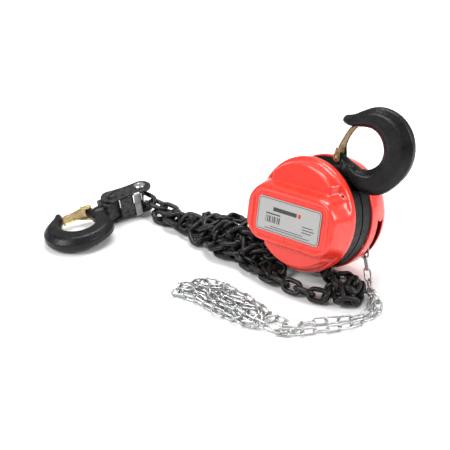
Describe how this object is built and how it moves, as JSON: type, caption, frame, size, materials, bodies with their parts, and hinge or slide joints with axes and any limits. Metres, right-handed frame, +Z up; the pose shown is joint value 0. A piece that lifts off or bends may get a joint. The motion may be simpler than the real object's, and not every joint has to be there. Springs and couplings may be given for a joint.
{
  "type": "hand chain hoist",
  "caption": "Hand chain hoist with a geared body in two pressed covers, a top hook, a bottom hook block, a black load chain and a bright hand chain.",
  "frame": {"origin": "middle of the underside of the hoist, its block and its hooks as they lie on the floor, chains left out", "axes": "+Z up, +X from the bottom hook towards the hoist, +Y away from the side the gear cover faces"},
  "size_m": [0.4554, 0.3113, 0.2273],
  "materials": {
    "red_paint": "gloss",
    "black_paint": "satin",
    "forged_black": "satin",
    "black_chain": "satin",
    "zinc_chain": "satin",
    "bright_steel": "satin",
    "gear_steel": "satin",
    "bronze_latch": "satin",
    "brass_latch": "satin",
    "copper_pin": "satin",
    "friction_lining": "matte",
    "label_metal": "satin"
  },
  "bodies": {
    "hoist_body": {"side_plate_front": "black_paint", "side_plate_rear": "black_paint", "stay_bolt_1": "forged_black", "stay_bolt_2": "forged_black", "stay_bolt_3": "forged_black", "gear_cover": "red_paint", "cover_nut_1": "forged_black", "cover_nut_2": "forged_black", "cover_nut_3": "forged_black", "wheel_cover": "red_paint", "name_plate": "label_metal", "gear_end_plate": "bright_steel", "sheave_bearing_front": "bright_steel", "sheave_bearing_rear": "bright_steel", "chain_stripper": "forged_black", "anchor_pin": "copper_pin", "top_pin": "bright_steel", "ratchet_disc": "gear_steel", "pawl_pin_upper": "bright_steel", "pawl_pin_lower": "bright_steel", "pawl_spring_upper": "bright_steel", "pawl_spring_lower": "bright_steel", "load_chain_on_sheave": "black_chain", "hand_chain_on_wheel": "zinc_chain", "load_chain_bundle": "black_chain", "load_chain_strand": "black_chain", "load_chain_heap": "black_chain", "hand_chain_drop": "zinc_chain", "hand_chain_strand": "zinc_chain", "hand_chain_heap": "zinc_chain"},
    "drive_shaft_body": {"drive_shaft": "gear_steel", "friction_hub": "gear_steel", "friction_disc_inner": "friction_lining", "friction_disc_outer": "friction_lining", "hand_wheel": "forged_black", "castle_nut": "bright_steel"},
    "load_sheave_body": {"load_sheave": "gear_steel", "load_gear": "gear_steel"},
    "disc_gear_left_body": {"disc_gear_left": "gear_steel"},
    "disc_gear_right_body": {"disc_gear_right": "gear_steel"},
    "guide_roller_left_body": {"guide_roller_left": "gear_steel"},
    "guide_roller_right_body": {"guide_roller_right": "gear_steel"},
    "pawl_upper_body": {"pawl_upper": "gear_steel"},
    "pawl_lower_body": {"pawl_lower": "gear_steel"},
    "top_yoke_body": {"top_yoke": "forged_black"},
    "top_hook_body": {"top_hook": "forged_black", "top_latch_pin": "bronze_latch", "top_latch_spring": "bright_steel"},
    "top_latch_body": {"top_latch": "bronze_latch"},
    "bottom_block_body": {"block_plate_upper": "forged_black", "block_plate_lower": "forged_black", "chain_pin": "bright_steel", "hook_pin": "forged_black", "block_spacer": "bright_steel"},
    "bottom_yoke_body": {"bottom_yoke": "forged_black"},
    "bottom_hook_body": {"bottom_hook": "forged_black", "bottom_latch_pin": "brass_latch", "bottom_latch_spring": "bright_steel"},
    "bottom_latch_body": {"bottom_latch": "brass_latch"}
  },
  "joints": [
    {"name": "drive_shaft_spin", "type": "hinge", "parent": "hoist_body", "child": "drive_shaft_body", "pos_m": [0.1221, -0.0389, 0.082], "axis": [0.6677, 0.6915, -0.2756], "continuous": true},
    {"name": "load_sheave_spin", "type": "hinge", "parent": "hoist_body", "child": "load_sheave_body", "pos_m": [0.1221, -0.0389, 0.082], "axis": [0.6677, 0.6915, -0.2756], "continuous": true},
    {"name": "disc_gear_left_spin", "type": "hinge", "parent": "hoist_body", "child": "disc_gear_left_body", "pos_m": [0.09636, -0.01545, 0.07848], "axis": [0.6677, 0.6915, -0.2756], "continuous": true},
    {"name": "disc_gear_right_spin", "type": "hinge", "parent": "hoist_body", "child": "disc_gear_right_body", "pos_m": [0.14784, -0.06235, 0.08552], "axis": [0.6677, 0.6915, -0.2756], "continuous": true},
    {"name": "guide_roller_left_spin", "type": "hinge", "parent": "hoist_body", "child": "guide_roller_left_body", "pos_m": [0.08886, -0.01386, 0.0643], "axis": [0.6677, 0.6915, -0.2756], "continuous": true},
    {"name": "guide_roller_right_spin", "type": "hinge", "parent": "hoist_body", "child": "guide_roller_right_body", "pos_m": [0.15211, -0.07149, 0.07294], "axis": [0.6677, 0.6915, -0.2756], "continuous": true},
    {"name": "pawl_upper_lift", "type": "hinge", "parent": "hoist_body", "child": "pawl_upper_body", "pos_m": [0.14641, -0.04417, 0.12766], "axis": [0.6677, 0.6915, -0.2756], "range_deg": [0, 22], "stiffness_Nm_per_rad": 0.02, "springref_deg": -17.19},
    {"name": "pawl_lower_lift", "type": "hinge", "parent": "hoist_body", "child": "pawl_lower_body", "pos_m": [0.09779, -0.03363, 0.03634], "axis": [0.6677, 0.6915, -0.2756], "range_deg": [0, 22], "stiffness_Nm_per_rad": 0.02, "springref_deg": -17.19},
    {"name": "top_yoke_swing", "type": "hinge", "parent": "hoist_body", "child": "top_yoke_body", "pos_m": [0.14335, -0.04177, 0.12627], "axis": [0.6677, 0.6915, -0.2756], "range_deg": [-36.3, 0]},
    {"name": "top_hook_swivel", "type": "hinge", "parent": "top_yoke_body", "child": "top_hook_body", "pos_m": [0.14335, -0.04177, 0.12627], "axis": [0.5282, -0.1793, 0.8299], "range_deg": [-16, 4]},
    {"name": "top_latch_hinge", "type": "hinge", "parent": "top_hook_body", "child": "top_latch_body", "pos_m": [0.14751, -0.03677, 0.15724], "axis": [-0.5883, -0.7821, 0.2055], "range_deg": [-40, 0], "stiffness_Nm_per_rad": 0.08, "springref_deg": 22.92},
    {"name": "block_swing", "type": "hinge", "parent": "hoist_body", "child": "bottom_block_body", "pos_m": [-0.1049, 0.1071, 0.0248], "axis": [-0.0892, -0.0474, 0.9949], "range_deg": [-20, 20]},
    {"name": "bottom_yoke_swing", "type": "hinge", "parent": "bottom_block_body", "child": "bottom_yoke_body", "pos_m": [-0.14179, 0.08748, 0.02056], "axis": [0.0892, 0.0474, -0.9949], "range_deg": [-45, 45]},
    {"name": "bottom_hook_swivel", "type": "hinge", "parent": "bottom_yoke_body", "child": "bottom_hook_body", "pos_m": [-0.14179, 0.08748, 0.02056], "axis": [-0.715, -0.6923, -0.0971], "continuous": true},
    {"name": "bottom_latch_hinge", "type": "hinge", "parent": "bottom_hook_body", "child": "bottom_latch_body", "pos_m": [-0.174, 0.0765, 0.01714], "axis": [0.0892, 0.0474, -0.9949], "range_deg": [-40, 0], "stiffness_Nm_per_rad": 0.08, "springref_deg": 22.92}
  ],
  "couplings": [
    {"joint": "load_sheave_spin", "follows": "drive_shaft_spin", "ratio": 0.083333},
    {"joint": "disc_gear_left_spin", "follows": "drive_shaft_spin", "ratio": -0.25},
    {"joint": "disc_gear_right_spin", "follows": "drive_shaft_spin", "ratio": -0.25}
  ]
}
